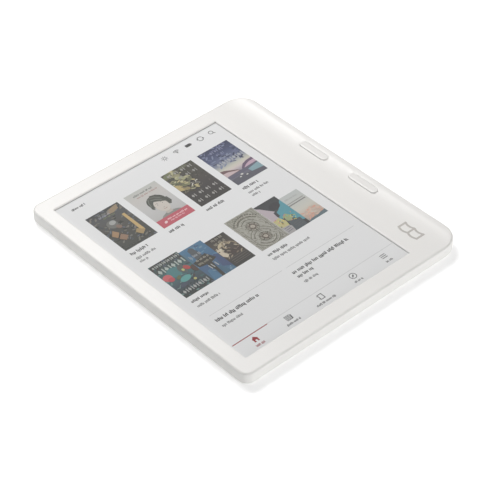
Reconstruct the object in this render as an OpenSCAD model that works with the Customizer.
// Seven-inch electronic-paper reader with an offset grip and two page keys.
// The device lies on its back: X runs across the page towards the grip, Y runs
// up the page and Z rises out of the screen. The origin is under its middle.
// Lengths are in millimetres.

/* [Body] */
// Width across the page and the grip
body_w = 144.6; // [144:0.1:146]
// Height along the page
body_h = 161; // [160:0.1:162]
// Thickness at the crest of the grip
body_t = 8.3; // [8.2:0.05:8.5]
// Height of the flat front face
face_z = 7.15; // [7.1:0.05:7.2]
// Corner radius on the grip side
grip_corner_r = 12; // [11:0.1:13]
// Corner radius on the thin side
thin_corner_r = 5.5; // [5:0.1:6]
// Rounding of the back edge
back_edge_r = 1.8; // [1.5:0.1:2.2]
// Thickness of the outer walls
wall = 1.5; // [1.4:0.05:1.5]
// Thickness of the floor of the rear cover
floor_t = 1.2; // [1.1:0.05:1.2]

/* [Grip] */
// Where the face starts to rise towards the grip's crest
ridge_start = 57.3; // [57:0.1:58.5]
// Edge rounding of the flat face
face_edge_r = 0.8; // [0.75:0.05:0.9]
// Edge rounding of the crest
crest_edge_r = 2.3; // [2.1:0.05:2.4]

/* [Window] */
// Width of the window in the front frame
window_w = 107.8; // [107:0.1:108.5]
// Height of the window in the front frame
window_h = 141.9; // [141:0.1:142.5]
// Middle of the window across the page
window_x = -9.6; // [-10:0.1:-9.4]
// Middle of the window along the page
window_y = 0.3; // [0:0.1:0.5]

/* [Page keys] */
// Length of a page key
key_len = 19; // [18.5:0.1:19.5]
// Width of a page key
key_w = 4.3; // [4.2:0.1:4.4]
// Middle of the keys across the page
key_x = 64.9; // [64.8:0.1:65]
// Point half way between the two keys
key_mid_y = -0.5; // [-1:0.1:0]
// Distance between the middles of the two keys
key_pitch = 36; // [35:0.1:37]
// Travel of a page key
key_travel = 0.3; // [0.2:0.01:0.3]
// Play around a key in its slot
key_gap = 0.12; // [0.1:0.01:0.15]

/* [Power button] */
// Diameter of the power button
power_d = 9.6; // [9:0.1:10]
// Middle of the power button across the page
power_x = 57.5; // [57:0.1:58]
// Middle of the power button along the page
power_y = -61; // [-61.5:0.1:-60]
// Travel of the power button
power_travel = 0.25; // [0.2:0.01:0.25]

/* [Charging socket] */
// Width of the socket's shell
usb_w = 8.94; // [8.9:0.01:9]
// Height of the socket's shell
usb_h = 3.16; // [3.1:0.01:3.2]
// Length of the socket's shell
usb_len = 7.5; // [7.3:0.1:7.6]
// Height of the socket's middle above the back
usb_z = 3.55; // [3.5:0.05:3.6]
// Depth of the socket's mouth behind the side of the body
usb_inset = 0.8; // [0.7:0.05:0.9]

/* [Battery] */
// Width of the battery cell
cell_w = 66; // [62:0.5:66]
// Height of the battery cell along the page
cell_h = 102; // [96:0.5:102]
// Thickness of the battery cell
cell_t = 2.3; // [2.1:0.05:2.35]

/* [Hidden] */
$fn = 48;

// A little extra so that a cut passes its surface.
eps = 0.1;
// The face steepens over most of its rise, then levels out to the crest, where
// the rounded edge begins.
ridge_end = body_w / 2 - crest_edge_r;
ridge_bend = 0.8;
// Where the round corners of the grip begin.
grip_corner_x = body_w / 2 - grip_corner_r;
// Play between fixed pieces that slide together when they are assembled.
play = 0.1;
// Gap that keeps a screw's shank clear of its bore.
thread_gap = 0.01;

// Corner steps of the outline.
grip_steps = 10;
thin_steps = 6;

// Heights of the layers from the back to the glass.
adhesive_top = floor_t + 0.1;
cell_top = adhesive_top + cell_t;
board_bottom = 3.05;
board_top = 3.65;
midframe_bottom = 3.75;
midframe_top = 4.45;
backing_top = 4.6;
glass_top = 5.05;
laminate_top = 5.35;
guide_top = 5.85;
touch_top = 6;
film_top = 6.15;
frame_bottom = 6.35;

// The seam between the front frame and the rear cover's rim.
rim_in = 0.7;
frame_in = 0.8;

// Locating rib and clips under the front frame.
rib_in = wall + play;
rib_t = 0.7;
rib_bottom = 5.4;
clip_len = 5;
clip_bottom = 3.3;
clip_hook = 0.6;
midframe_in = rib_in + rib_t + play;

// Edges of the window, and of the display module behind it.
window_lo = [window_x - window_w / 2, window_y - window_h / 2];
window_hi = [window_x + window_w / 2, window_y + window_h / 2];
glass_lo = window_lo - [4, 6];
glass_hi = window_hi + [3.7, 4];

// Page keys and the switches under them.
key_top = 8.05;
key_bevel_w = 0.7;
key_bevel_t = 0.3;
key_slot_top = 6.85;
key_flange_top = key_slot_top - play;
key_flange_bottom = frame_bottom;
key_flange = 1;
bracket_top = midframe_top + 0.4;
key_flex_top = bracket_top + 0.1;
switch_top = key_flex_top + 0.6;
plunger_top = switch_top + key_travel;
pad_top = key_flange_bottom - key_travel - 0.05;
key_ys = [key_mid_y - key_pitch / 2, key_mid_y + key_pitch / 2];
pad_offset = 7.5;
strip_x = 57.5;

// Power button.
power_recess = 0.2;
power_flange_bottom = floor_t + play;
power_flange_top = power_flange_bottom + 0.4;
power_flange_d = power_d + 2.4;
power_plunger_bottom = 2.25;
power_switch_bottom = 2.55;
plunger_r = 0.7;
plunger_bore_r = plunger_r + 0.05;

// Battery and main board.
cell_lo = [-58, -50];
cell_hi = cell_lo + [cell_w, cell_h];
board_lo = [36, -67.5];
board_hi = [68.4, 58];
usb_x = body_w / 2 - usb_inset;
usb_y = key_mid_y;
usb_wall = 0.25;
// How far the ribbons' sockets lie beyond the glass.
connector_reach = 4.1;

// Screws.
midframe_screw_at = [[-65.3, 72], [-65.3, 0.3], [-65.3, -72], [8, 72.5], [8, -72.5],
                     [34, -72.5], [58, 70.5], [24, 10]];
board_screw_at = [[39.5, 53], [65, 53], [39.5, -58], [65, -46]];
bracket_screw_at = [[strip_x, key_mid_y + 25], [strip_x, key_mid_y - 25]];
boss_r = 1.9;
shank_r = 0.8;
head_r = 1.4;
head_t = 0.42;

// Part of the rise towards the crest that is reached at x.
function rise(x) =
    let (t = min(max((x - ridge_start) / (ridge_end - ridge_start), 0), 1))
    t < ridge_bend ? t * t / ridge_bend : 1 - (1 - t) * (1 - t) / (1 - ridge_bend);

// Height of the front surface at x, away from its edges.
function crown(x) = face_z + (body_t - face_z) * rise(x);

// Radius of the front edge at x.
function edge_r(x) = face_edge_r + (crest_edge_r - face_edge_r) * rise(x);

// How far a rounded edge of radius r has fallen at distance d from the outline.
function edge_drop(d, r) = d >= r ? 0 : r - sqrt(r * r - (r - d) * (r - d));

// Points of an arc.
function arc(c, r, a0, a1, steps) =
    [for (i = [0:steps]) let (a = a0 + (a1 - a0) * i / steps) c + r * [cos(a), sin(a)]];

// Outline of the body, drawn in by a distance. It turns anticlockwise.
function outline(inset) =
    let (x1 = body_w / 2, y1 = body_h / 2,
         cg = [x1 - grip_corner_r, y1 - grip_corner_r],
         ct = [x1 - thin_corner_r, y1 - thin_corner_r],
         rg = grip_corner_r - inset,
         rt = thin_corner_r - inset)
    concat(arc([cg[0], -cg[1]], rg, -90, 0, grip_steps),
           arc(cg, rg, 0, 90, grip_steps),
           arc([-ct[0], ct[1]], rt, 90, 180, thin_steps),
           arc(-ct, rt, 180, 270, thin_steps));

// The outline as a level ring.
function level_ring(inset, z) = [for (p = outline(inset)) [p[0], p[1], z]];

// Points moved up to the front surface, where they lie a distance inside the outline.
function raised(points, inset) =
    [for (p = points) [p[0], p[1], crown(p[0]) - edge_drop(inset, edge_r(p[0]))]];

// The outline on the front surface. Its long sides stay level up to the grip's corners.
function rim_ring(inset) =
    [for (p = raised(outline(inset), inset))
     p[0] > grip_corner_x + eps ? p : [p[0], p[1], face_z - edge_drop(inset, face_edge_r)]];

// The grip's end of the outline, from the start of the ridge round both corners.
function grip_end(inset) =
    let (c = [grip_corner_x, body_h / 2 - grip_corner_r], r = grip_corner_r - inset)
    concat([[ridge_start, inset - body_h / 2]],
           arc([c[0], -c[1]], r, -90, 0, grip_steps), arc(c, r, 0, 90, grip_steps),
           [[ridge_start, body_h / 2 - inset]]);

// Points of a rectangle with round corners.
function round_rect(lo, hi, r) =
    concat(arc([hi[0] - r, lo[1] + r], r, -90, 0, 4), arc(hi - [r, r], r, 0, 90, 4),
           arc([lo[0] + r, hi[1] - r], r, 90, 180, 4), arc(lo + [r, r], r, 180, 270, 4));

// Skin through a stack of rings, closed at both ends.
module loft(rings) {
    n = len(rings[0]);
    last = len(rings) - 1;
    sides = [for (i = [0:last - 1]) for (j = [0:n - 1])
             let (k = (j + 1) % n, a = i * n, b = a + n)
             each [[a + j, b + j, b + k], [a + j, b + k, a + k]]];
    bottom = [[for (j = [0:n - 1]) j]];
    top = [[for (j = [n - 1:-1:0]) last * n + j]];
    polyhedron(points = [for (r = rings) each r], faces = concat(bottom, sides, top));
}

// Box from its lowest to its highest corner.
module box(lo, hi) {
    translate(lo) cube(hi - lo);
}

// Sheet between two corners in plan and two heights.
module sheet(lo, hi, z0, z1) {
    box([lo[0], lo[1], z0], [hi[0], hi[1], z1]);
}

// Sheet with round corners.
module round_sheet(lo, hi, z0, z1, r) {
    translate([0, 0, z0]) linear_extrude(z1 - z0) polygon(round_rect(lo, hi, r));
}

// Prism on the outline of the body, drawn in.
module body_prism(inset, z0, z1) {
    translate([0, 0, z0]) linear_extrude(z1 - z0) polygon(outline(inset));
}

// Closed band that follows the outline.
module body_band(inset, t, z0, z1) {
    difference() {
        body_prism(inset, z0, z1);
        body_prism(inset + t, z0 - eps, z1 + eps);
    }
}

// Upright disc or bore between two heights.
module disc(at, r, z0, z1) {
    translate([at[0], at[1], z0]) cylinder(h = z1 - z0, r = r);
}

// Upright slug with round ends along Y.
module slug(at, length, width, z0, z1) {
    reach = (length - width) / 2;
    translate([at[0] - width / 2, at[1] - reach, z0]) cube([width, 2 * reach, z1 - z0]);
    for (s = [-1, 1]) disc([at[0], at[1] + s * reach], width / 2, z0, z1);
}

// Slug with round ends that lies along X, as the charging socket does.
module socket_form(grow, x0, x1) {
    r = usb_h / 2 + grow;
    reach = (usb_w - usb_h) / 2;
    box([x0, usb_y - reach, usb_z - r], [x1, usb_y + reach, usb_z + r]);
    for (s = [-1, 1]) {
        translate([x0, usb_y + s * reach, usb_z]) rotate([0, 90, 0]) cylinder(h = x1 - x0, r = r);
    }
}

// Screw with its head up.
module screw(at, shank_bottom, head_bottom) {
    disc(at, shank_r, shank_bottom, head_bottom);
    difference() {
        disc(at, head_r, head_bottom, head_bottom + head_t);
        disc(at, 0.45, head_bottom + head_t - 0.25, head_bottom + head_t + eps);
    }
}

// Clip that hangs from the front frame. Its local X points into the body.
module clip(at, turn) {
    translate([at[0], at[1], 0]) rotate(turn) {
        box([0, -clip_len / 2, clip_bottom], [rib_t, clip_len / 2, frame_bottom + eps]);
        box([0, -clip_len / 2, clip_bottom], [rib_t + clip_hook, clip_len / 2, clip_bottom + 0.4]);
    }
}

// Bent ribbon cable. Its path lies in X and Z, and it is extruded along Y. The
// path's copy is moved along both axes, so that level and upright runs are both t thick.
module ribbon(path, t, y0, y1) {
    last = len(path) - 1;
    shape = concat(path, [for (i = [last:-1:0]) path[i] + [t, t]]);
    translate([0, y1, 0]) rotate([90, 0, 0]) linear_extrude(y1 - y0) polygon(shape);
}

// ---- shells ----

// Grip's ridge above the frame's flat plate, with its rounded edge. Its top is
// made of level strips across Y, one for each pair of opposite points.
module ridge() {
    insets = [frame_in, 1.1, 1.5, 1.9, crest_edge_r];
    base = [for (p = grip_end(frame_in)) [p[0], p[1], frame_bottom + eps]];
    rings = concat([base], [for (d = insets) raised(grip_end(d), d)]);
    n = len(base);
    top = len(insets) * n;
    skin = [for (i = [0:len(insets) - 1]) for (j = [0:n - 2])
            let (a = i * n + j, b = a + n)
            each [[a, b, b + 1], [a, b + 1, a + 1]]];
    strips = [for (j = [0:n / 2 - 2]) [top + j, top + n - 1 - j, top + n - 2 - j, top + j + 1]];
    underside = [for (j = [0:n - 1]) j];
    start = concat([for (i = [0:len(insets)]) i * n + n - 1],
                   [for (i = [len(insets):-1:0]) i * n]);
    polyhedron(points = [for (r = rings) each r],
               faces = concat([underside, start], skin, strips));
}

// Bezel and grip face in one moulding.
module front_frame() {
    xl = body_w / 2 - rib_in;
    yl = body_h / 2 - rib_in;
    color("whitesmoke") difference() {
        union() {
            body_prism(frame_in, frame_bottom, face_z);
            ridge();
            body_band(rib_in, rib_t, rib_bottom, frame_bottom + eps);
            for (y = [-55, -20, 20, 55]) clip([-xl, y], 0);
            for (y = [-38, 38]) clip([xl, y], 180);
            for (x = [-45, -5, 35]) {
                clip([x, -yl], 90);
                clip([x, yl], -90);
            }
        }
        sheet(window_lo, window_hi, frame_bottom - eps, face_z + eps);
        for (y = key_ys) {
            slug([key_x, y], key_len + 2 * key_gap, key_w + 2 * key_gap, frame_bottom - eps, body_t + 1);
            slug([key_x, y], key_len + 2 * key_flange + 0.6, key_w + 2 * key_flange + 0.4,
                 frame_bottom - eps, key_slot_top);
        }
        box([xl - rib_t - eps, usb_y - 7, rib_bottom - eps], [xl + eps, usb_y + 7, frame_bottom]);
    }
}

// Outer shell of the rear cover: back, sides and rim.
module cover_shell() {
    rounding = [for (a = [0:22.5:90])
                level_ring(back_edge_r * (1 - sin(a)), back_edge_r * (1 - cos(a)))];
    rim = [for (d = [0, 0.06, 0.2, 0.42, rim_in]) rim_ring(d)];
    inside = [level_ring(rim_in, film_top), level_ring(wall, film_top), level_ring(wall, floor_t)];
    loft(concat(rounding, rim, inside));
}

// Ribs that stand on the floor around the battery and between it and the board.
module cover_ribs() {
    rib = 0.8;
    lo = cell_lo - [1.2, 1.2];
    hi = cell_hi + [1.2, 1.2];
    z0 = floor_t - eps;
    z1 = 2.9;
    sheet([lo[0] - rib, lo[1]], [lo[0], hi[1]], z0, z1);
    for (y = [lo[1] - rib, hi[1]]) sheet([lo[0] - rib, y], [hi[0], y + rib], z0, z1);
    for (y = [-48, -34, -20, 20, 34, 48]) sheet([13.5, y], [34.5, y + rib], z0, z1);
}

// Rear cover with its bosses, ribs and openings.
module back_cover() {
    color("gainsboro") difference() {
        union() {
            cover_shell();
            cover_ribs();
            for (p = midframe_screw_at) disc(p, boss_r, floor_t - eps, midframe_bottom);
            for (p = board_screw_at) disc(p, boss_r, floor_t - eps, board_bottom);
        }
        for (p = midframe_screw_at) disc(p, shank_r + thread_gap, 1.5, midframe_bottom + eps);
        for (p = board_screw_at) disc(p, shank_r + thread_gap, 1.5, board_bottom + eps);
        disc([power_x, power_y], power_d / 2 + 0.15, -eps, floor_t + eps);
        disc([power_x - 9.5, power_y], 0.72, -eps, floor_t + eps);
        socket_form(0.15, body_w / 2 - wall - eps, body_w / 2 + eps);
    }
}

// Rubber bead between the rear cover's wall and the front frame.
module perimeter_seal() {
    color("dimgray") body_band(frame_in + 0.1, 0.5, film_top, frame_bottom);
}

// Foam gasket between the display's film and the frame around the window.
module window_gasket() {
    color("black") difference() {
        sheet(window_lo - [2.2, 2.2], window_hi + [2.2, 2.2], film_top, frame_bottom);
        sheet(window_lo - [0.6, 0.6], window_hi + [0.6, 0.6], film_top - eps, frame_bottom + eps);
    }
}

// ---- display module ----

module front_film() {
    color("lightgray") round_sheet(glass_lo + [0.6, 1.8], glass_hi - [0.6, 0.4], touch_top, film_top, 1);
}

module touch_sensor() {
    color("silver") sheet(glass_lo + [0.8, 2], glass_hi - [0.8, 0.6], guide_top, touch_top);
}

module light_guide() {
    color("aliceblue") sheet(glass_lo + [1, 2.4], glass_hi - [1, 0.8], laminate_top, guide_top);
}

// Ribbon with a row of light-emitting diodes along the light guide's lower edge.
module light_led_strip() {
    diodes = 13;
    y1 = glass_lo[1] + 2.3;
    x0 = glass_lo[0] + 3;
    x1 = glass_hi[0] - 3;
    color("goldenrod") sheet([x0, y1 - 2.2], [x1, y1], glass_top, glass_top + 0.15);
    for (i = [0:diodes - 1]) {
        x = x0 + (x1 - x0) * (i + 0.5) / diodes;
        color("lemonchiffon") box([x - 1.5, y1 - 0.9, glass_top + 0.15], [x + 1.5, y1, guide_top - 0.05]);
    }
}

module eink_laminate() {
    color("gainsboro") sheet(glass_lo + [2, 4], glass_hi - [2.2, 1], glass_top, laminate_top);
}

module backplane_glass() {
    color("darkseagreen") sheet(glass_lo, glass_hi, backing_top, glass_top);
}

module display_backing() {
    color("darkslategray") sheet(glass_lo + [0.5, 0.5], glass_hi - [0.5, 0.5], midframe_top, backing_top);
}

// Ribbon from the glass's bare edge, down through the midframe to the board.
module display_flex_cable() {
    t = 0.12;
    x = glass_hi[0];
    color("chocolate") {
        ribbon([[x - 1.9, glass_top], [x + 1.6, glass_top], [x + 2.2, glass_top - 0.5],
                [x + 2.2, board_top + 0.5], [x + 2.6, board_top + 0.25],
                [x + connector_reach - t, board_top + 0.25]],
               t, -11, 11);
        sheet([x + 0.1, -6], [x + 1.3, 6], glass_top - 0.4, glass_top);
    }
}

// Ribbon from the touch sensor to the board.
module touch_flex_cable() {
    t = 0.1;
    x = glass_hi[0];
    color("peru") ribbon([[x - 0.8, guide_top + 0.02], [x + 1.9, guide_top + 0.02],
                          [x + 2.5, guide_top - 0.6], [x + 2.5, board_top + 0.5],
                          [x + 2.9, board_top + 0.25], [x + connector_reach - t, board_top + 0.25]],
                         t, 30, 38);
}

// ---- chassis ----

// Pressed plate that carries the display and covers the battery and board.
module midframe() {
    x = glass_hi[0];
    head_bottom = midframe_top - head_t - 0.03;
    color("lightsteelblue") difference() {
        body_prism(midframe_in, midframe_bottom, midframe_top);
        for (p = midframe_screw_at) {
            disc(p, shank_r + play, midframe_bottom - eps, midframe_top + eps);
            disc(p, head_r + play, head_bottom, midframe_top + eps);
        }
        for (p = board_screw_at) disc(p, head_r + 0.3, midframe_bottom - eps, midframe_top + eps);
        for (p = bracket_screw_at) disc(p, shank_r + thread_gap, midframe_bottom - eps, midframe_top + eps);
        sheet([x + 1.4, -13], [x + 8, 13], midframe_bottom - eps, midframe_top + eps);
        sheet([x + 1.4, 28], [x + 8, 40], midframe_bottom - eps, midframe_top + eps);
        sheet([usb_x - usb_len - 0.5, usb_y - 6], [body_w, usb_y + 6], midframe_bottom - eps, midframe_top + eps);
    }
}

module midframe_screws() {
    color("dimgray") for (p = midframe_screw_at) screw(p, 1.7, midframe_top - head_t - 0.03);
}

// ---- battery ----

module battery_cell() {
    color("silver") round_sheet(cell_lo, cell_hi, adhesive_top, cell_top, 1);
}

module battery_adhesive() {
    color("white") for (x = [cell_lo[0] + 8, cell_hi[0] - 20]) {
        sheet([x, cell_lo[1] + 6], [x + 12, cell_hi[1] - 6], floor_t, adhesive_top);
    }
}

module battery_protection_board() {
    x = cell_hi[0];
    color("seagreen") sheet([x + 0.1, -24], [x + 3.9, 24], floor_t + 0.5, floor_t + 1.1);
    for (y = [-16, -5, 6, 15]) {
        color("black") sheet([x + 0.8, y], [x + 3.2, y + 3], floor_t + 1.1, floor_t + 1.9);
    }
}

// Two insulated wires from the protection board to their connector.
module battery_leads() {
    x0 = cell_hi[0] + 3.9;
    ys = [-1.2, 1.2];
    for (i = [0:1]) {
        color(["black", "red"][i]) translate([x0, ys[i], floor_t + 0.8]) rotate([0, 90, 0])
            cylinder(h = board_lo[0] + 1.5 - x0, r = 0.5);
    }
}

module battery_connector() {
    x0 = board_lo[0] + 1.5;
    color("ivory") sheet([x0, -3], [x0 + 3.5, 3], 1.45, board_bottom);
}

// ---- main board ----

module main_board() {
    color("darkgreen") difference() {
        round_sheet(board_lo, board_hi, board_bottom, board_top, 1.5);
        for (p = board_screw_at) disc(p, shank_r + play, board_bottom - eps, board_top + eps);
        sheet([usb_x - usb_len - 0.2, usb_y - usb_w / 2 - 0.2], [body_w, usb_y + usb_w / 2 + 0.2],
              board_bottom - eps, board_top + eps);
    }
}

module board_screws() {
    color("gray") for (p = board_screw_at) screw(p, 1.7, board_top);
}

// Sockets on the board for the two ribbons.
module board_connectors() {
    x = glass_hi[0] + connector_reach;
    color("ivory") {
        sheet([x, -11.5], [x + 3.2, 11.5], board_top, board_top + 0.75);
        sheet([x, 29.5], [x + 3.2, 38.5], board_top, board_top + 0.75);
    }
}

module processor_shield() {
    color("lightgray") shield([42, 15], [60, 33]);
}

module radio_shield() {
    color("lightgray") shield([44, 38], [58, 49]);
}

// Thin can that is open towards the board.
module shield(lo, hi) {
    skin = 0.2;
    difference() {
        sheet(lo, hi, 1.8, board_bottom);
        sheet(lo + [skin, skin], hi - [skin, skin], 1.8 + skin, board_bottom + eps);
    }
}

module processor_chip() {
    color("black") sheet([45, 18], [57, 30], 2.2, board_bottom);
}

module radio_chip() {
    color("black") sheet([47, 41], [54, 47], 2.3, board_bottom);
}

// Packages and small parts on the board's underside.
module board_chips() {
    color("black") {
        sheet([44, -16], [52, -8], 2.15, board_bottom);
        sheet([56, -18], [61, -12], 2.25, board_bottom);
        sheet([43, -30], [49, -24], 2.2, board_bottom);
        sheet([41, 5], [45, 9], 2.4, board_bottom);
    }
    color("tan") for (i = [0:7]) {
        sheet([42 + i * 2.4, -39], [43.2 + i * 2.4, -37], 2.3, board_bottom);
        sheet([46 + i * 1.8, -4], [47 + i * 1.8, -2.4], 2.4, board_bottom);
    }
}

module hall_sensor() {
    color("black") sheet([63.5, 27.5], [66.4, 29.2], 2.2, board_bottom);
}

// ---- charging socket ----

module usb_c_shell() {
    color("silver") difference() {
        socket_form(0, usb_x - usb_len, usb_x);
        socket_form(-usb_wall, usb_x - usb_len - eps, usb_x + eps);
    }
}

module usb_c_tongue() {
    x0 = usb_x - usb_len + 0.05;
    color("black") {
        socket_form(-usb_wall - 0.02, x0, x0 + 2.1);
        box([x0 + 2, usb_y - 3.35, usb_z - 0.35], [usb_x - 0.6, usb_y + 3.35, usb_z + 0.35]);
    }
}

module usb_gasket() {
    color("dimgray") difference() {
        socket_form(0.5, body_w / 2 - wall - 1.3, body_w / 2 - wall);
        socket_form(0.01, body_w / 2 - wall - 1.3 - eps, body_w / 2 - wall + eps);
    }
}

// ---- page keys ----

// Key whose top leans with the grip, with a flange that keeps it in the frame.
module page_key(y) {
    difference() {
        union() {
            slug([key_x, y], key_len, key_w, key_flange_bottom, key_top);
            slug([key_x, y], key_len + 2 * key_flange, key_w + 2 * key_flange,
                 key_flange_bottom, key_flange_top);
            disc([key_x, y], 1.2, plunger_top + 0.02, key_flange_bottom + eps);
        }
        translate([key_x - key_w / 2, y - key_len, key_top - key_bevel_t])
            rotate([0, -atan(key_bevel_t / key_bevel_w), 0])
            translate([-1, 0, 0]) cube([3, 2 * key_len, 2]);
    }
}

module page_button_upper() {
    color("white") page_key(key_ys[1]);
}

module page_button_lower() {
    color("white") page_key(key_ys[0]);
}

module key_plunger(y) {
    disc([key_x, y], plunger_r, key_flex_top + key_travel + 0.02, plunger_top);
}

module upper_switch_plunger() {
    color("black") key_plunger(key_ys[1]);
}

module lower_switch_plunger() {
    color("black") key_plunger(key_ys[0]);
}

module page_switches() {
    color("silver") for (y = key_ys) difference() {
        sheet([key_x - 1.7, y - 1.5], [key_x + 1.7, y + 1.5], key_flex_top, switch_top);
        disc([key_x, y], plunger_bore_r, key_flex_top - eps, switch_top + eps);
    }
}

// Silicone stops under the ends of each key.
module button_pads() {
    color("gray") for (y = key_ys) for (s = [-1, 1]) {
        disc([key_x, y + s * pad_offset], 1.2, bracket_top, pad_top);
    }
}

module button_flex() {
    color("peru") {
        for (y = key_ys) {
            sheet([key_x - 2, y - 3], [key_x + 2.2, y + 3], bracket_top, key_flex_top);
            sheet([strip_x + 2.1, y - 1], [key_x - 2, y + 1], bracket_top, key_flex_top);
        }
        sheet([strip_x + 0.9, key_ys[0] - 1], [strip_x + 2.1, key_ys[1] + 1], bracket_top, key_flex_top);
    }
}

module button_bracket() {
    color("lightslategray") difference() {
        union() {
            sheet([strip_x - 2.4, key_mid_y - 28], [strip_x + 2.4, key_mid_y + 28], midframe_top, bracket_top);
            for (y = key_ys) {
                sheet([strip_x + 2.4, y - 10], [key_x + 3.2, y + 10], midframe_top, bracket_top);
            }
        }
        for (p = bracket_screw_at) disc(p, shank_r + play, midframe_top - eps, bracket_top + eps);
    }
}

module bracket_screws() {
    color("dimgray") for (p = bracket_screw_at) screw(p, midframe_bottom + 0.05, bracket_top);
}

// ---- power button ----

module power_button() {
    at = [power_x, power_y];
    dish_r = 60;
    dish = 0.12;
    color("lightgray") difference() {
        union() {
            disc(at, power_d / 2, power_recess, power_flange_bottom + eps);
            disc(at, power_flange_d / 2, power_flange_bottom, power_flange_top);
            disc(at, 1.2, power_flange_top - eps, power_plunger_bottom - 0.02);
        }
        translate([power_x, power_y, power_recess + dish - dish_r]) sphere(r = dish_r);
    }
}

module power_switch_plunger() {
    color("black") disc([power_x, power_y], plunger_r, power_plunger_bottom, board_bottom - power_travel - 0.02);
}

module power_switch() {
    color("silver") difference() {
        sheet([power_x - 1.7, power_y - 1.5], [power_x + 1.7, power_y + 1.5], power_switch_bottom, board_bottom);
        disc([power_x, power_y], plunger_bore_r, power_switch_bottom - eps, board_bottom + eps);
    }
}

module power_button_seal() {
    color("dimgray") difference() {
        disc([power_x, power_y], power_flange_d / 2 + 1.5, floor_t, floor_t + 0.7);
        disc([power_x, power_y], power_flange_d / 2 + 0.3, floor_t - eps, floor_t + 0.7 + eps);
    }
}

// Clear rod that carries the charging light to the back.
module power_light_pipe() {
    at = [power_x - 9.5, power_y];
    color("white") {
        disc(at, 0.7, 0.02, floor_t + 0.05);
        disc(at, 1.2, floor_t, 2.2);
    }
}

// ---- radio and magnets ----

module wifi_antenna() {
    color("darkgoldenrod") sheet([14, 64], [46, 70], floor_t, floor_t + 0.2);
}

// Thin coaxial cable from the antenna to the radio.
module antenna_coax() {
    z = floor_t + 0.65;
    r = 0.4;
    y0 = board_hi[1] - 2;
    color("black") {
        translate([42, 67, z]) rotate([0, 90, 0]) cylinder(h = 10, r = r);
        translate([52, 67, z]) sphere(r = r);
        translate([52, 67, z]) rotate([90, 0, 0]) cylinder(h = 67 - y0, r = r);
        disc([52, y0], 0.9, z - r, board_bottom);
        disc([42, 67], 0.9, floor_t + 0.2, z + r);
    }
}

// Magnets that hold a folding case shut.
module cover_magnets() {
    side = body_w / 2 - wall - 0.2;
    color("slategray") for (y = [-46, 46]) {
        sheet([-side, y - 6], [3 - side, y + 6], floor_t, floor_t + 1.4);
        sheet([side - 3, y - 6], [side, y + 6], floor_t, floor_t + 1.4);
    }
}

front_frame();
back_cover();
perimeter_seal();
window_gasket();
front_film();
touch_sensor();
light_guide();
light_led_strip();
eink_laminate();
backplane_glass();
display_backing();
display_flex_cable();
touch_flex_cable();
midframe();
midframe_screws();
battery_cell();
battery_adhesive();
battery_protection_board();
battery_leads();
battery_connector();
main_board();
board_screws();
board_connectors();
board_chips();
processor_shield();
radio_shield();
processor_chip();
radio_chip();
usb_c_shell();
usb_c_tongue();
usb_gasket();
page_button_upper();
page_button_lower();
upper_switch_plunger();
lower_switch_plunger();
page_switches();
button_pads();
button_flex();
button_bracket();
bracket_screws();
power_button();
power_switch_plunger();
power_switch();
power_button_seal();
power_light_pipe();
wifi_antenna();
antenna_coax();
cover_magnets();
hall_sensor();
